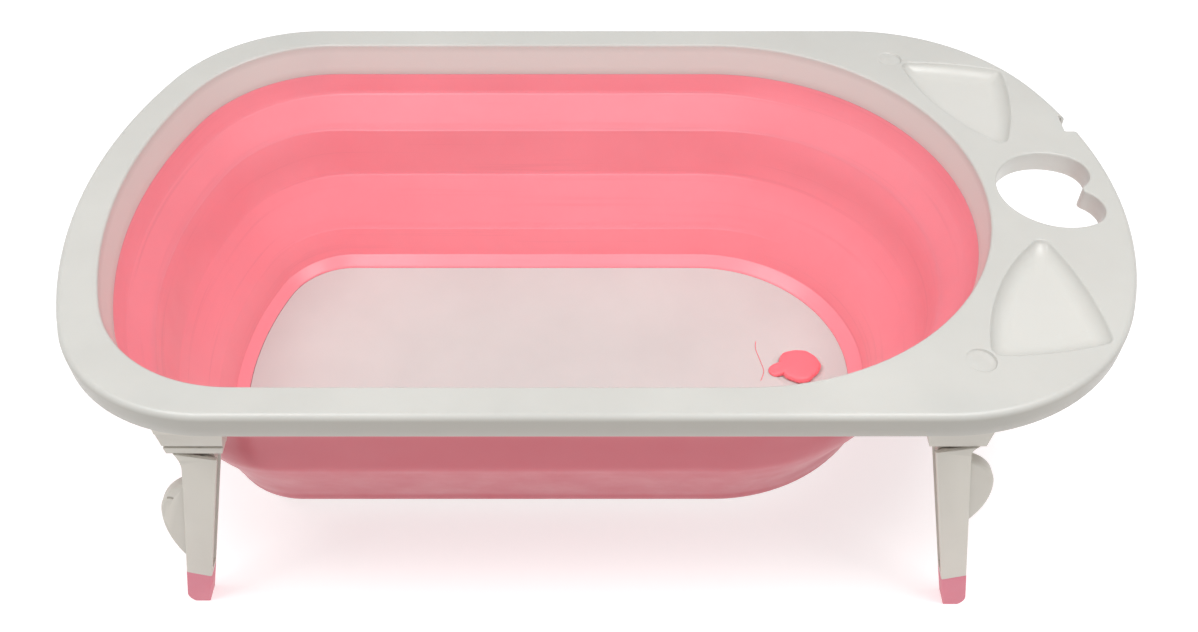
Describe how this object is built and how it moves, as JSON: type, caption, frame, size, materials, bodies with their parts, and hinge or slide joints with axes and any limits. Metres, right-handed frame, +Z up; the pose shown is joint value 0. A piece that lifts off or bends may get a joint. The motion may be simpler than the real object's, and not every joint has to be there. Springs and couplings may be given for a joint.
{
  "type": "folding baby bathtub",
  "caption": "Oval baby bathtub with a hard rim and platform, a soft wall that folds flat in steps, a floor with a drain plug, and short folding legs.",
  "frame": {"origin": "on the ground, under the middle of the rim", "axes": "+X towards the platform with the soap dishes, +Y across, +Z up"},
  "size_m": [0.8239, 0.467, 0.249],
  "materials": {
    "white_plastic": "moulded polypropylene, satin gloss",
    "leg_plastic": "moulded polypropylene, fine matt",
    "floor_plastic": "moulded polypropylene, matt",
    "pink_wall": "soft moulded elastomer, satin",
    "pink_foot": "soft moulded elastomer, matt",
    "pink_plug": "soft moulded elastomer, satin",
    "steel": "zinc-plated screws",
    "pin_steel": "plain ground pins"
  },
  "bodies": {
    "root": {"rim_frame": "white_plastic", "wall_upper_band": "pink_wall", "wall_upper_fold": "pink_wall", "bracket_screws": "steel", "leg_bracket_front_left": "leg_plastic", "leg_bracket_back_left": "leg_plastic", "leg_bracket_front_right": "leg_plastic", "leg_bracket_back_right": "leg_plastic"},
    "middle": {"wall_middle_band": "pink_wall", "wall_lower_fold": "pink_wall"},
    "base": {"wall_lower_band": "pink_wall", "base_tray": "floor_plastic"},
    "plug": {"drain_plug": "pink_plug"},
    "front_left_leg": {"leg_front_left": "leg_plastic", "foot_tip_front_left": "pink_foot", "hinge_pin_front_left": "pin_steel"},
    "back_left_leg": {"leg_back_left": "leg_plastic", "foot_tip_back_left": "pink_foot", "hinge_pin_back_left": "pin_steel"},
    "front_right_leg": {"leg_front_right": "leg_plastic", "foot_tip_front_right": "pink_foot", "hinge_pin_front_right": "pin_steel"},
    "back_right_leg": {"leg_back_right": "leg_plastic", "foot_tip_back_right": "pink_foot", "hinge_pin_back_right": "pin_steel"}
  },
  "joints": [
    {"name": "upper_fold", "type": "slide", "parent": "root", "child": "middle", "axis": [0, 0, 1], "range_m": [0, 0.056], "deforming": ["wall_upper_fold"]},
    {"name": "lower_fold", "type": "slide", "parent": "middle", "child": "base", "axis": [0, 0, 1], "range_m": [0, 0.096], "deforming": ["wall_lower_fold"]},
    {"name": "plug_lift", "type": "slide", "parent": "base", "child": "plug", "axis": [0, 0, 1], "range_m": [0, 0.04]},
    {"name": "front_left_hinge", "type": "hinge", "parent": "root", "child": "front_left_leg", "pos_m": [-0.274, -0.2163, 0.18452], "axis": [0, -1, 0], "range_deg": [0, 103]},
    {"name": "back_left_hinge", "type": "hinge", "parent": "root", "child": "back_left_leg", "pos_m": [-0.274, 0.2163, 0.18452], "axis": [0, -1, 0], "range_deg": [0, 103]},
    {"name": "front_right_hinge", "type": "hinge", "parent": "root", "child": "front_right_leg", "pos_m": [0.23952, -0.2195, 0.19726], "axis": [0, 1, 0], "range_deg": [0, 101]},
    {"name": "back_right_hinge", "type": "hinge", "parent": "root", "child": "back_right_leg", "pos_m": [0.23952, 0.2195, 0.19726], "axis": [0, 1, 0], "range_deg": [0, 101]}
  ],
  "couplings": [
    {"joint": "lower_fold", "follows": "upper_fold", "ratio": 1.714}
  ]
}
